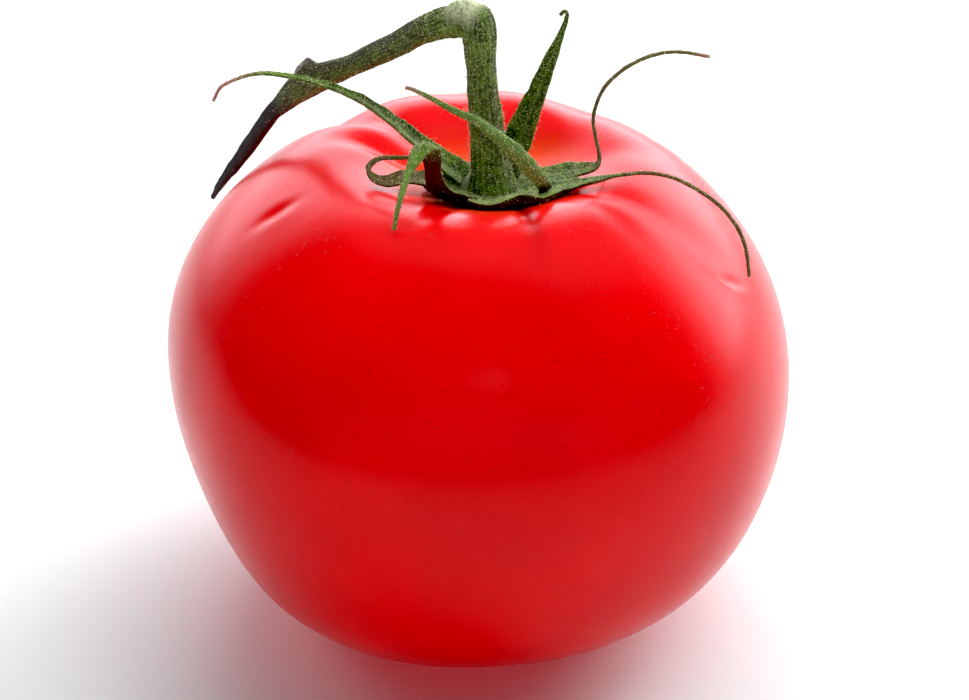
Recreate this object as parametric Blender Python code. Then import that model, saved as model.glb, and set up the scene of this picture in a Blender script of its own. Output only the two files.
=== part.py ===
# A ripe red tomato with its green calyx and a bent piece of stalk, as picked.
# Sizes and places are in millimetres, and make_node turns them into metres.
# The origin is the middle of the flat spot under the fruit. +Z is up and the front faces -Y.
import math

import bmesh
import bpy
from mathutils import Vector

MM = 0.001
GAP = 0.35

# The fruit: one body of revolution with lobes, grooves and a sunken stem end.
FRUIT_RADIUS = 36.7
WIDEST_LEVEL = 30.5
SHOULDER_RISE = 31.8
ROUNDNESS_BELOW = 0.59
ROUNDNESS_ABOVE = 1.17
REST_RADIUS = 8.5
BASIN_DEPTH = 11.0
BASIN_RADIUS = 12.5
# The core line's sideways place is a cubic in the height, measured from level 30 in steps of 30.
CORE_SWAY = (1.22, -2.28, -0.10, 3.40)
CORE_BACK = 0.5
# Each lobe wave: waves round the fruit, height as a share of the radius, azimuth of a crest.
LOBES = ((2, -0.017, 0), (3, 0.010, 107), (5, 0.008, 20))
# Each groove: azimuth at 0.4 of the radius, turn over the radius, depth, half width in degrees,
# then where it starts and ends as shares of the radius.
GROOVES = (
    (290.5, -19, 0.3, 3.2, 0.16, 0.66),
    (246, 10, 0.4, 5.5, 0.16, 0.55),
    (317.5, 16, 0.16, 5.0, 0.20, 0.80),
    (330, 25, 0.32, 7.0, 0.22, 1.05),
    (12, 10, 0.5, 10.0, 0.30, 0.70),
    (55, 0, 0.5, 12.0, 0.30, 0.80),
    (95, 10, 0.7, 10.0, 0.30, 0.80),
    (132, 0, 1.9, 8.0, 0.30, 0.90),
    (156, 0, 0.8, 7.0, 0.16, 0.60),
    (212, 5, 0.25, 10.0, 0.20, 0.60),
)
# The basin is hollowed further behind the stalk.
HOLLOW_DEPTH = 1.8
HOLLOW_RADIUS = 10.5
HOLLOW_HALF_WIDTH = 4.5
HOLLOW_AZIMUTH = 95.0
FRUIT_SIDES = 88
FRUIT_RINGS = 33

# The calyx: a thin plate that lines the basin, and the sepals that grow out of it.
HUB = (2.9, 0.5)
PLATE_THICKNESS = 0.8
PLATE_SIDES = 48
PLATE_RINGS = 5
# The plate's rim: azimuth, radius, height above the skin.
RIM = ((0, 9.0, 0.1), (40, 6.6, 0.0), (80, 6.2, 0.2), (125, 6.0, 0.1), (165, 6.2, 0.3), (200, 8.0, 0.2),
       (222, 7.4, 0.5), (240, 7.4, 0.4), (268, 8.8, 0.0), (290, 9.6, 1.1), (306, 9.9, 0.1), (332, 10.4, 0.3))
BLADE_THICKNESS = 0.62
BLADE_STEP = 1.5
# Each sepal: its middle line as x, y, z and half width, the direction across the blade at its
# base and at its tip, and how far its edges fold up there as a share of the half width.
SEPALS = {
    "left_long": dict(
        line=((-0.6, 0.4, 53.3, 2.5), (-4.5, 1.7, 56.2, 1.75), (-8.1, 2.7, 59.3, 1.1),
              (-11.8, 3.2, 62.0, 0.78), (-16.0, 3.2, 64.0, 0.6), (-20.2, 2.8, 65.3, 0.46),
              (-23.6, 2.4, 65.7, 0.35), (-27.1, 1.8, 64.6, 0.32), (-28.3, 1.4, 62.8, 0.32)),
        across=((-0.26, -0.97, 0.0), (-0.1, -0.9, -0.4)), fold=(0.45, 0.45)),
    "front_curl": dict(
        line=((0.4, -4.6, 53.2, 2.0), (-2.3, -6.0, 54.9, 1.75), (-3.5, -6.9, 56.8, 1.25),
              (-3.9, -7.2, 58.6, 0.95), (-4.0, -7.4, 60.3, 1.15), (-4.3, -7.7, 61.5, 1.4),
              (-5.0, -8.8, 62.1, 1.3), (-5.5, -10.0, 61.6, 0.9), (-6.3, -11.6, 60.5, 0.62),
              (-6.9, -13.6, 59.4, 0.58), (-7.4, -15.2, 57.8, 0.45), (-7.8, -16.6, 56.0, 0.32)),
        across=((0.7, -0.55, 0.33), (0.9, -0.3, 0.0)), fold=(0.2, -0.9)),
    "left_loop": dict(
        line=((-0.9, -1.9, 53.4, 1.9), (-3.5, -2.4, 54.4, 1.7), (-5.2, -3.2, 55.3, 1.35),
              (-7.1, -4.0, 55.9, 1.05), (-8.8, -4.7, 55.8, 0.9), (-10.3, -4.7, 56.3, 0.7),
              (-10.9, -3.6, 57.2, 0.5), (-9.7, -2.7, 57.8, 0.42), (-7.9, -2.3, 57.7, 0.38),
              (-6.3, -2.0, 57.6, 0.32)),
        across=((0.2, -0.98, 0.0), (0.2, -0.7, -0.65)), fold=(0.25, 0.25)),
    "front_cross": dict(
        line=((8.9, -4.2, 53.7, 1.1), (8.8, -5.6, 55.4, 0.8), (8.3, -6.8, 57.0, 0.85),
              (7.5, -7.6, 58.4, 0.95), (6.4, -8.1, 60.1, 0.95), (4.9, -8.2, 61.8, 0.85),
              (3.0, -8.0, 63.3, 0.72), (0.9, -7.8, 64.9, 0.58), (-1.7, -7.5, 66.1, 0.48),
              (-3.9, -7.2, 67.3, 0.4), (-5.6, -6.8, 68.0, 0.35), (-6.6, -6.7, 68.3, 0.32)),
        across=((0.84, 0.54, 0.0), (0.6, 0.0, 0.8)), fold=(0.35, 0.35)),
    "upright": dict(
        line=((4.7, 3.6, 52.9, 1.9), (5.5, 4.4, 54.9, 1.95), (6.4, 4.9, 57.2, 1.8), (7.3, 5.1, 59.8, 1.5),
              (8.3, 5.3, 62.4, 1.2), (9.5, 5.8, 65.7, 0.9), (10.6, 6.4, 68.6, 0.55), (11.3, 6.8, 70.9, 0.35),
              (10.9, 6.6, 71.6, 0.32), (10.4, 6.3, 71.1, 0.32)),
        across=((-0.87, 0.5, 0.0), (-0.8, 0.6, 0.2)), fold=(0.5, 0.5)),
    "right_up": dict(
        line=((7.0, 0.2, 53.5, 1.8), (9.9, -0.3, 54.4, 1.8), (12.2, -1.0, 55.3, 1.5), (14.2, -1.2, 55.9, 0.9),
              (14.9, -0.7, 56.7, 0.5), (14.5, 0.8, 58.6, 0.42), (14.2, 2.0, 60.6, 0.4), (15.1, 2.6, 63.4, 0.4),
              (16.6, 3.0, 65.2, 0.38), (18.5, 3.4, 66.5, 0.36), (21.0, 3.9, 67.4, 0.34),
              (23.8, 4.4, 67.5, 0.32), (27.3, 5.1, 66.6, 0.32)),
        across=((-0.1, 1.0, 0.0), (0.0, 0.9, 0.4)), fold=(0.2, 0.2)),
    "right_droop": dict(
        line=((6.0, -2.4, 53.3, 2.1), (8.8, -3.9, 54.1, 2.0), (11.5, -4.9, 55.3, 1.4), (13.9, -5.3, 56.2, 0.8),
              (17.0, -5.1, 56.9, 0.42), (20.1, -5.0, 57.1, 0.36), (22.8, -5.3, 56.7, 0.34),
              (25.5, -5.8, 55.5, 0.34), (28.1, -6.6, 53.8, 0.34), (29.9, -7.4, 51.8, 0.34),
              (31.0, -8.2, 49.4, 0.34), (31.5, -9.0, 46.2, 0.32)),
        across=((0.42, 0.9, 0.0), (0.5, 0.8, 0.3)), fold=(0.25, 0.25)),
    "back_short": dict(
        line=((2.6, 4.2, 52.7, 1.8), (2.4, 6.6, 53.7, 1.5), (2.4, 9.2, 55.8, 0.9), (2.6, 11.0, 58.3, 0.35)),
        across=((-1.0, 0.0, 0.0), (-1.0, 0.0, 0.0)), fold=(0.3, 0.3)),
}

# The stalk: middle lines as x, y, z and radius.
STALK_SIDES = 14
STALK_STEP = 1.6
PEDICEL = ((2.8, 0.5, 53.2, 2.65), (2.7, 0.5, 54.2, 2.4), (2.5, 0.5, 56.0, 2.1), (2.2, 0.6, 60.3, 1.9),
           (1.8, 0.8, 64.5, 1.72), (1.6, 1.0, 68.1, 1.68), (1.4, 1.3, 71.4, 1.92), (1.3, 1.4, 73.0, 1.75),
           (1.15, 1.5, 74.0, 1.2), (1.1, 1.5, 74.4, 0.6))
ARM = ((0.6, 1.6, 72.1, 1.3), (-1.2, 2.3, 72.1, 1.8), (-2.7, 2.8, 71.7, 1.73), (-5.1, 3.7, 70.4, 1.51),
       (-8.0, 5.0, 68.1, 1.42), (-10.8, 6.0, 66.3, 1.33), (-13.2, 7.1, 64.6, 1.22),
       (-15.5, 8.0, 63.3, 1.45), (-17.6, 8.9, 62.0, 1.7), (-19.5, 9.8, 60.4, 1.55),
       (-21.3, 10.6, 58.2, 1.12), (-22.9, 11.5, 56.2, 0.97), (-25.75, 13.6, 51.2, 0.88),
       (-27.75, 15.1, 47.8, 0.73), (-28.85, 15.9, 46.0, 0.6), (-29.85, 16.8, 44.2, 0.43),
       (-30.6, 17.6, 42.5, 0.3))
STUB = ((-16.8, 8.7, 61.8, 1.6), (-17.8, 8.9, 62.8, 1.5), (-18.9, 9.0, 63.8, 1.25))
KNUCKLE_PLACE = (-0.3, 1.9, 72.9)
KNUCKLE_RADII = (2.1, 1.8, 2.1)

# Colour, roughness and metallic value of each node.
FINISHES = {
    "fruit": ((0.60, 0.012, 0.012), 0.22, 0.0),
    "calyx": ((0.10, 0.16, 0.04), 0.65, 0.0),
    "stem": ((0.14, 0.19, 0.07), 0.7, 0.0),
}


def smooth_step(low, high, value):
    share = min(max((value - low) / (high - low), 0.0), 1.0)
    return share * share * (3 - 2 * share)


def turn_between(azimuth, other):
    """The angle from one azimuth in degrees to another, from -180 to 180."""
    return (azimuth - other + 180) % 360 - 180


def groove_depth(azimuth, share):
    """The depth of all grooves at an azimuth and a share of the radius."""
    total = 0.0
    for middle, turn, depth, half_width, start, end in GROOVES:
        off = turn_between(azimuth, middle + turn * (share - 0.4)) / half_width
        along = smooth_step(0.6 * start, 2 * start, share) * (1 - smooth_step(0.6 * end, end, share))
        total += depth * math.exp(-off * off) * along
    return total


def hollow_depth(radius, azimuth):
    """The depth of the hollow behind the stalk, at a radius from the core and an azimuth."""
    lobe = (0.5 + 0.5 * math.cos(math.radians(azimuth - HOLLOW_AZIMUTH))) ** 1.5
    return HOLLOW_DEPTH * math.exp(-((radius - HOLLOW_RADIUS) / HOLLOW_HALF_WIDTH) ** 2) * lobe


def fruit_point(polar, azimuth):
    """A point of the skin: polar runs from 0 at the base to pi at the stem end."""
    above = smooth_step(math.pi * 0.25, math.pi * 0.75, polar)
    roundness = ROUNDNESS_BELOW + (ROUNDNESS_ABOVE - ROUNDNESS_BELOW) * above
    radius = FRUIT_RADIUS * abs(math.sin(polar)) ** roundness
    level = WIDEST_LEVEL - (WIDEST_LEVEL + (SHOULDER_RISE - WIDEST_LEVEL) * above) * math.cos(polar)
    share = radius / FRUIT_RADIUS
    step = (level - 30) / 30
    sway = sum(value * step ** power for power, value in enumerate(CORE_SWAY))
    back = CORE_BACK * smooth_step(30, 60, level)
    lobe = sum(height * math.cos(math.radians(count * (azimuth - crest))) for count, height, crest in LOBES)
    radius *= 1 + lobe * smooth_step(0, 0.6, share)
    upper = smooth_step(math.pi * 0.5, math.pi * 0.62, polar)
    level -= (BASIN_DEPTH * math.exp(-(radius / BASIN_RADIUS) ** 2) + hollow_depth(radius, azimuth)) * upper
    inward = 1 - groove_depth(azimuth, share) * upper / (math.hypot(radius, level - WIDEST_LEVEL) + 0.001)
    angle = math.radians(azimuth)
    return Vector((sway + radius * inward * math.cos(angle), back + radius * inward * math.sin(angle),
                   WIDEST_LEVEL + (level - WIDEST_LEVEL) * inward))


def skin_level(x, y):
    """The height of the basin's floor below a plan place, left without its grooves."""
    radius = math.hypot(x - HUB[0], y - HUB[1])
    azimuth = math.degrees(math.atan2(y - HUB[1], x - HUB[0]))
    dome = SHOULDER_RISE * math.sqrt(1 - (radius / FRUIT_RADIUS) ** (2 / ROUNDNESS_ABOVE))
    basin = BASIN_DEPTH * math.exp(-(radius / BASIN_RADIUS) ** 2) + hollow_depth(radius, azimuth)
    return WIDEST_LEVEL + dome - basin


def smooth_line(points, step):
    """Even stations on a smooth curve through rows of numbers; the first three are the place."""
    rows = [Vector(row) for row in points]
    rows = [2 * rows[0] - rows[1]] + rows + [2 * rows[-1] - rows[-2]]
    fine = []
    for a, b, c, d in zip(rows, rows[1:], rows[2:], rows[3:]):
        for part in range(12):
            u = part / 12
            fine.append(0.5 * (2 * b + u * (c - a) + u * u * (2 * a - 5 * b + 4 * c - d)
                               + u ** 3 * (3 * b - a - 3 * c + d)))
    fine.append(rows[-2])
    walked = [0.0]
    for a, b in zip(fine, fine[1:]):
        walked.append(walked[-1] + (b - a).to_3d().length)
    count = max(2, round(walked[-1] / step))
    stations = []
    at = 0
    for number in range(count + 1):
        goal = walked[-1] * number / count
        while at < len(fine) - 2 and walked[at + 1] < goal:
            at += 1
        share = (goal - walked[at]) / (walked[at + 1] - walked[at])
        stations.append(fine[at].lerp(fine[at + 1], share))
    return stations


def directions(stations):
    """The unit direction of a line at each of its stations."""
    places = [station.to_3d() for station in stations]
    ahead = places[1:] + [2 * places[-1] - places[-2]]
    behind = [2 * places[0] - places[1]] + places[:-1]
    return [(a - b).normalized() for a, b in zip(ahead, behind)]


def loft(rings, head=None, tail=None, mirrored=False):
    """A closed solid through equal rings. A head or tail point makes that end a fan.
    A mirrored ring runs along a blade's upper face and back along its lower one, and both
    faces are split alike."""
    mesh = bmesh.new()
    rows = [[mesh.verts.new(place) for place in ring] for ring in rings]
    sides = len(rows[0])
    for near, far in zip(rows, rows[1:]):
        for j in range(sides):
            k = (j + 1) % sides
            if mirrored and j >= sides // 2:
                mesh.faces.new((near[j], near[k], far[j]))
                mesh.faces.new((near[k], far[k], far[j]))
            else:
                mesh.faces.new((near[j], near[k], far[k]))
                mesh.faces.new((near[j], far[k], far[j]))
    for row, point in ((rows[0], head), (rows[-1], tail)):
        if point is None:
            mesh.faces.new(row)
            continue
        middle = mesh.verts.new(point)
        for j in range(sides):
            mesh.faces.new((row[j], row[(j + 1) % sides], middle))
    bmesh.ops.recalc_face_normals(mesh, faces=mesh.faces)
    return mesh


def tube(points, sides, step, head=None):
    """A round solid along a line whose rows end in the radius."""
    stations = smooth_line(points, step)
    across = Vector((0, 1, 0))
    rings = []
    for station, ahead in zip(stations, directions(stations)):
        across = (across - ahead * across.dot(ahead)).normalized()
        other = ahead.cross(across)
        angles = [math.tau * j / sides for j in range(sides)]
        rings.append([station.to_3d() + station[3] * (across * math.cos(a) + other * math.sin(a)) for a in angles])
    return loft(rings, head=head)


def blade(line, across, fold):
    """One sepal: a folded strip of even thickness, with its inner face up at the base."""
    stations = smooth_line(line, BLADE_STEP)
    base, tip = (Vector(value) for value in across)
    rings = []
    for number, (station, ahead) in enumerate(zip(stations, directions(stations))):
        along = number / (len(stations) - 1)
        side = base.lerp(tip, along)
        side = (side - ahead * side.dot(ahead)).normalized()
        face = ahead.cross(side)
        half = station[3]
        lift = face * (BLADE_THICKNESS / 2)
        edge = face * (fold[0] + (fold[1] - fold[0]) * along) * half
        middle = station.to_3d()
        upper = [middle - side * half + edge, middle, middle + side * half + edge]
        rings.append([place + lift for place in upper] + [place - lift for place in reversed(upper)])
    return loft(rings, mirrored=True)


def around(rows, azimuth):
    """Reads a cyclic table of rows that start with an azimuth, eased between them."""
    for near, far in zip(rows, rows[1:] + ((rows[0][0] + 360,) + rows[0][1:],)):
        if near[0] <= azimuth <= far[0]:
            share = smooth_step(near[0], far[0], azimuth)
            return [a + (b - a) * share for a, b in zip(near[1:], far[1:])]
    return list(rows[0][1:])


def calyx_plate():
    """The plate that lines the basin: a lower sheet over the skin and an upper one above it."""
    sheets = [[], []]
    for ring in range(1, PLATE_RINGS + 1):
        share = ring / PLATE_RINGS
        for sheet, thickness in zip(sheets, (0.0, PLATE_THICKNESS)):
            places = []
            for j in range(PLATE_SIDES):
                azimuth = 360 * j / PLATE_SIDES
                radius, lift = around(RIM, azimuth)
                x = HUB[0] + radius * share * math.cos(math.radians(azimuth))
                y = HUB[1] + radius * share * math.sin(math.radians(azimuth))
                places.append((x, y, skin_level(x, y) + GAP + lift * share ** 3 + thickness))
            sheet.append(places)
    floor = skin_level(*HUB) + GAP
    return loft(sheets[0] + sheets[1][::-1], head=(*HUB, floor), tail=(*HUB, floor + PLATE_THICKNESS))


def make_node(name, mesh):
    """Puts a solid into the scene as a named object, in metres."""
    bmesh.ops.scale(mesh, vec=(MM, MM, MM), verts=mesh.verts)
    data = bpy.data.meshes.new(name)
    mesh.to_mesh(data)
    mesh.free()
    node = bpy.data.objects.new(name, data)
    bpy.context.scene.collection.objects.link(node)
    return node


def join(name, meshes):
    """Joins overlapping solids into one node by one union, and removes the loose ones."""
    node = make_node(name, meshes[0])
    group = bpy.data.collections.new(name + " pieces")
    for mesh in meshes[1:]:
        piece = make_node(name + "_piece", mesh)
        bpy.context.scene.collection.objects.unlink(piece)
        group.objects.link(piece)
    union = node.modifiers.new("union", "BOOLEAN")
    union.operation = "UNION"
    union.operand_type = "COLLECTION"
    union.collection = group
    union.solver = "EXACT"
    bpy.context.view_layer.update()
    joined = bpy.data.meshes.new_from_object(node.evaluated_get(bpy.context.evaluated_depsgraph_get()))
    node.modifiers.clear()
    node.data = joined
    for piece in list(group.objects):
        bpy.data.objects.remove(piece)
    bpy.data.collections.remove(group)
    return node


def finish(node):
    """Gives a node its material and smooth shading."""
    colour, roughness, metallic = FINISHES[node.name]
    material = bpy.data.materials.new(node.name)
    material.use_nodes = True
    shader = material.node_tree.nodes["Principled BSDF"]
    shader.inputs["Base Color"].default_value = (*colour, 1)
    shader.inputs["Roughness"].default_value = roughness
    shader.inputs["Metallic"].default_value = metallic
    node.data.materials.clear()
    node.data.materials.append(material)
    node.data.shade_smooth()
    node.data.set_sharp_from_angle(angle=math.radians(50))


def make_fruit():
    """The fruit stands on the flat ring where its radius first reaches REST_RADIUS."""
    first = math.asin((REST_RADIUS / FRUIT_RADIUS) ** (1 / ROUNDNESS_BELOW))
    rest = fruit_point(first, 0).z
    rings = []
    for ring in range(FRUIT_RINGS):
        polar = first + (math.pi - first) * ring / FRUIT_RINGS
        places = [fruit_point(polar, 360 * j / FRUIT_SIDES) for j in range(FRUIT_SIDES)]
        if ring == 0:
            places = [Vector((place.x, place.y, rest)) for place in places]
        rings.append([place - Vector((0, 0, rest)) for place in places])
    return make_node("fruit", loft(rings, tail=fruit_point(math.pi, 0) - Vector((0, 0, rest))))


def make_calyx():
    """The plate and its sepals, grown together."""
    return join("calyx", [calyx_plate()] + [blade(**sepal) for sepal in SEPALS.values()])


def make_stem():
    """The upright stalk with its swollen joint, the arm beyond it, and the stub at the arm's bend."""
    x, y, level, _ = PEDICEL[0]
    foot = (x, y, skin_level(x, y) + 2 * GAP + PLATE_THICKNESS)
    pedicel = tube(PEDICEL, STALK_SIDES, STALK_STEP, head=foot)
    arm = tube(ARM, STALK_SIDES, STALK_STEP)
    stub = tube(STUB, STALK_SIDES - 4, STALK_STEP)
    knuckle = bmesh.new()
    bmesh.ops.create_icosphere(knuckle, subdivisions=2, radius=1)
    bmesh.ops.scale(knuckle, vec=KNUCKLE_RADII, verts=knuckle.verts)
    bmesh.ops.translate(knuckle, vec=KNUCKLE_PLACE, verts=knuckle.verts)
    return join("stem", [pedicel, arm, stub, knuckle])


def main():
    for old in list(bpy.data.objects):
        bpy.data.objects.remove(old)
    for node in (make_fruit(), make_calyx(), make_stem()):
        finish(node)


main()
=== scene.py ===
import math

import bpy
import numpy as np
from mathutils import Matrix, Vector


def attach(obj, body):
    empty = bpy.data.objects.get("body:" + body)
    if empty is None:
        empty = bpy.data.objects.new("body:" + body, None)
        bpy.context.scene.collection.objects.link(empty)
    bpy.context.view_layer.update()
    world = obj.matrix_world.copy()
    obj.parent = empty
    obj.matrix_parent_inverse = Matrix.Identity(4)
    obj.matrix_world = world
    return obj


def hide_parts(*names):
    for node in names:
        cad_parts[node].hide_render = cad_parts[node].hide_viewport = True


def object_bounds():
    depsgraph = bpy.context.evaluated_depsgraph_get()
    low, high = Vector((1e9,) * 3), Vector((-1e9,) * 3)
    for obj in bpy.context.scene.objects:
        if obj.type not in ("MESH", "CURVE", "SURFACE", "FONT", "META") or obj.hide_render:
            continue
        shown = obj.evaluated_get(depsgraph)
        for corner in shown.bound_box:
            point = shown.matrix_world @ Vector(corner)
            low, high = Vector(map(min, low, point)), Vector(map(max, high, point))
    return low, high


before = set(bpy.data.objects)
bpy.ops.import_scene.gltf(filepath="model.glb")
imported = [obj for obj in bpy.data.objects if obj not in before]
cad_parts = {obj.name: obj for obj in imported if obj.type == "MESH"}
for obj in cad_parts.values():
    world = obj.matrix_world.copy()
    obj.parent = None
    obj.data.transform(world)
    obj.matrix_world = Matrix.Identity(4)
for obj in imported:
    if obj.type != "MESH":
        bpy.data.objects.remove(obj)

# A ripe tomato with its calyx and a bent piece of stalk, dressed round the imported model.
# Shapes are worked out in millimetres and put into the meshes in metres.
mm = 0.001
cadLow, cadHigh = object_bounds()
dressed = bpy.data.collections.new("dressed")   # every piece of the object
stage = bpy.data.collections.new("stage")       # the floor

# the camera and its picture
cameraView = {
    "target": (2.0, 0.0, 31.6),
    "distance": 340.0,
    "elevation": 30.0,
    "focalPixels": 2916.0,
    "pictureWidth": 969.0,
    "sensorWidth": 36.0,
}

studio = {
    "floorSize": 3000.0,
    "floorColour": (0.60, 0.64, 0.64),
    "surroundBright": 3.3,      # radiance of the wall behind and beside the fruit
    "surroundDim": 0.14,        # radiance behind the camera and overhead
    "rightLift": 0.45,          # the surround is this much brighter towards +X
    "surroundColour": (1.0, 0.965, 1.04),
    # the surround turns bright between these two values of +Y, with a lean to +X
    "brightFrom": 0.38,
    "brightTo": 0.70,
    "brightLean": 0.20,
    "ceilingFrom": 0.46,        # and it turns dim again between these two values of +Z
    "ceilingTo": 0.72,
    # soft lamps that don't show as reflections: place, width, height, power, spread and what they light
    "lamps": {"fill": ((-120.0, -600.0, 260.0), 2400.0, 420.0, 3.8, 180.0, "tomato"),
              "top": ((120.0, 240.0, 520.0), 700.0, 600.0, 5.0, 180.0, "all"),
              "left": ((-420.0, 330.0, 260.0), 400.0, 300.0, 0.15, 60.0, "floor"),
              "right": ((420.0, 330.0, 260.0), 400.0, 300.0, 0.45, 60.0, "floor")},
    "aim": {"tomato": (2.0, 0.0, 31.6), "all": (2.0, 0.0, 31.6), "floor": (0.0, 20.0, 0.0)},
    # small lamps that show only as faint pale spots on the skin: place and power
    "glints": (((94.0, -366.0, 406.0), 0.016),
               ((31.0, -376.0, 406.0), 0.010),
               ((433.0, -244.0, 217.0), 0.010)),
    "glintSize": 22.0,
    # painted red light: the floor's own material glows round the fruit's foot: place, reach, strength,
    # colour
    "paintedRedGlow": ((0.0, -4.0, 0.0), 46.0, 0.23, (1.0, 0.10, 0.13)),
    "exposure": 0.15,
    "blackLevel": 0.012,
}


# eases from 0 at low to 1 at high; low may be the greater of the two
def smoothStep(low, high, value):
    share = np.clip((value - low) / (high - low), 0, 1)
    return share * share * (3 - 2 * share)


# the vectors along the last axis, each divided by its length
def unit(vectors):
    return vectors / np.maximum(np.linalg.norm(vectors, axis=-1, keepdims=True), 1e-9)


# each vector less its part along the direction, then made a unit vector
def squareTo(vectors, ahead):
    return unit(vectors - ahead * np.sum(vectors * ahead, axis=-1, keepdims=True))


# Length walked along a row of places, up to each of them.
def walkedLength(places):
    return np.append(0, np.cumsum(np.linalg.norm(np.diff(places, axis=0), axis=1)))


# Stations at equal steps of walked length on a smooth curve through rows of numbers: cubics whose
# slope at a row is half the way between its neighbours.
def stationsOn(points, step):
    rows = np.array(points, float)
    rows = np.vstack((2 * rows[0] - rows[1], rows, 2 * rows[-1] - rows[-2]))
    u = np.linspace(0, 1, 12, endpoint=False)[None, :, None]
    a, b, c, d = (rows[k:len(rows) - 3 + k, None, :] for k in range(4))
    fine = 0.5 * (2 * b + u * (c - a) + u * u * (2 * a - 5 * b + 4 * c - d)
                  + u ** 3 * (3 * b - a - 3 * c + d))
    fine = np.vstack((fine.reshape(-1, rows.shape[1]), rows[-2]))
    walked = walkedLength(fine[:, :3])
    goals = np.linspace(0, walked[-1], max(3, round(walked[-1] / step)))
    return np.stack([np.interp(goals, walked, column) for column in fine.T], axis=1)


# A grid of closed rings as faces: quads between rings, and a fan at each end round a middle point.
# The rings turn anticlockwise as seen from the last one, so that the faces look outwards.
def ringMesh(rings, first, last):
    count, sides = rings.shape[:2]
    places = np.vstack((rings.reshape(-1, 3), first, last))
    row = np.arange(count - 1)[:, None] * sides
    turn = np.arange(sides)[None, :]
    ahead = (turn + 1) % sides
    quads = np.stack((row + turn, row + ahead, row + sides + ahead, row + sides + turn), -1).reshape(-1, 4)
    foot = np.stack((ahead[0], turn[0], np.full(sides, count * sides)), -1)
    end = (count - 1) * sides
    top = np.stack((turn[0] + end, ahead[0] + end, np.full(sides, count * sides + 1)), -1)
    return places, quads.tolist() + foot.tolist() + top.tolist()


# Several meshes as one: their places stacked, and each mesh's faces counted on from the last.
def stacked(parts):
    counts = np.cumsum([0] + [len(places) for places, _ in parts])
    faces = []
    for (_, found), start in zip(parts, counts.tolist()):
        faces += [[index + start for index in face] for face in found]
    return np.vstack([places for places, _ in parts]), faces


# puts an object with the given mesh, lamp or camera into the scene
def addObject(name, data):
    made = bpy.data.objects.new(name, data)
    bpy.context.scene.collection.objects.link(made)
    return made


# puts a mesh in millimetres into the scene as a piece of the object; each of its values is one
# number for each vertex, under a name that the material reads
def addPiece(name, places, faces, material, slot, node=None, values=None):
    mesh = bpy.data.meshes.new(name)
    mesh.from_pydata((places * mm).tolist(), [], faces)
    mesh.shade_smooth()
    mesh.materials.append(material)
    for key, numbers in (values or {}).items():
        attribute = mesh.attributes.new(key, "FLOAT", "POINT")
        attribute.data.foreach_set("value", np.asarray(numbers, np.float32))
    piece = addObject(name, mesh)
    dressed.objects.link(piece)
    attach(piece, "root")
    if node:
        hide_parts(node)
    print(name, sum(len(face) - 2 for face in faces), "triangles")


# Closed shapes that run into each other, grown together: remeshed on a grid of the given size,
# and smoothed. Gives places, quads and unit normals.
def grownTogether(parts, grid, rounds):
    places, faces = stacked(parts)
    mesh = bpy.data.meshes.new("growing")
    mesh.from_pydata(places.tolist(), [], faces)
    shape = addObject("growing", mesh)
    remesh = shape.modifiers.new("grid", "REMESH")
    remesh.mode = "VOXEL"
    remesh.voxel_size = grid
    soften = shape.modifiers.new("soften", "SMOOTH")
    soften.factor = 0.5
    soften.iterations = rounds
    bpy.context.view_layer.update()
    grown = bpy.data.meshes.new_from_object(shape.evaluated_get(bpy.context.evaluated_depsgraph_get()))
    found = np.empty(len(grown.vertices) * 3, np.float32)
    grown.vertices.foreach_get("co", found)
    normals = np.empty(len(grown.vertices) * 3, np.float32)
    grown.vertices.foreach_get("normal", normals)
    quads = np.empty(len(grown.loops), np.int32)
    grown.loops.foreach_get("vertex_index", quads)
    bpy.data.objects.remove(shape)
    bpy.data.meshes.remove(mesh)
    bpy.data.meshes.remove(grown)
    return found.reshape(-1, 3).astype(float), quads.reshape(-1, 4), normals.reshape(-1, 3).astype(float)


# Shader writing: a wire is one output socket of a tree, and expressions on wires add Math nodes.
class Wire:
    def __init__(self, tree, socket):
        self.tree = tree
        self.socket = socket

    def math(self, operation, first, second):
        return self.tree.node("Math", {"operation": operation}, {0: first, 1: second})

    def __add__(self, other):
        return self.math("ADD", self, other)

    def __mul__(self, other):
        return self.math("MULTIPLY", self, other)

    def __sub__(self, other):
        return self.math("SUBTRACT", self, other)

    def __rsub__(self, other):
        return self.math("SUBTRACT", other, self)

    __radd__ = __add__
    __rmul__ = __mul__


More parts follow.
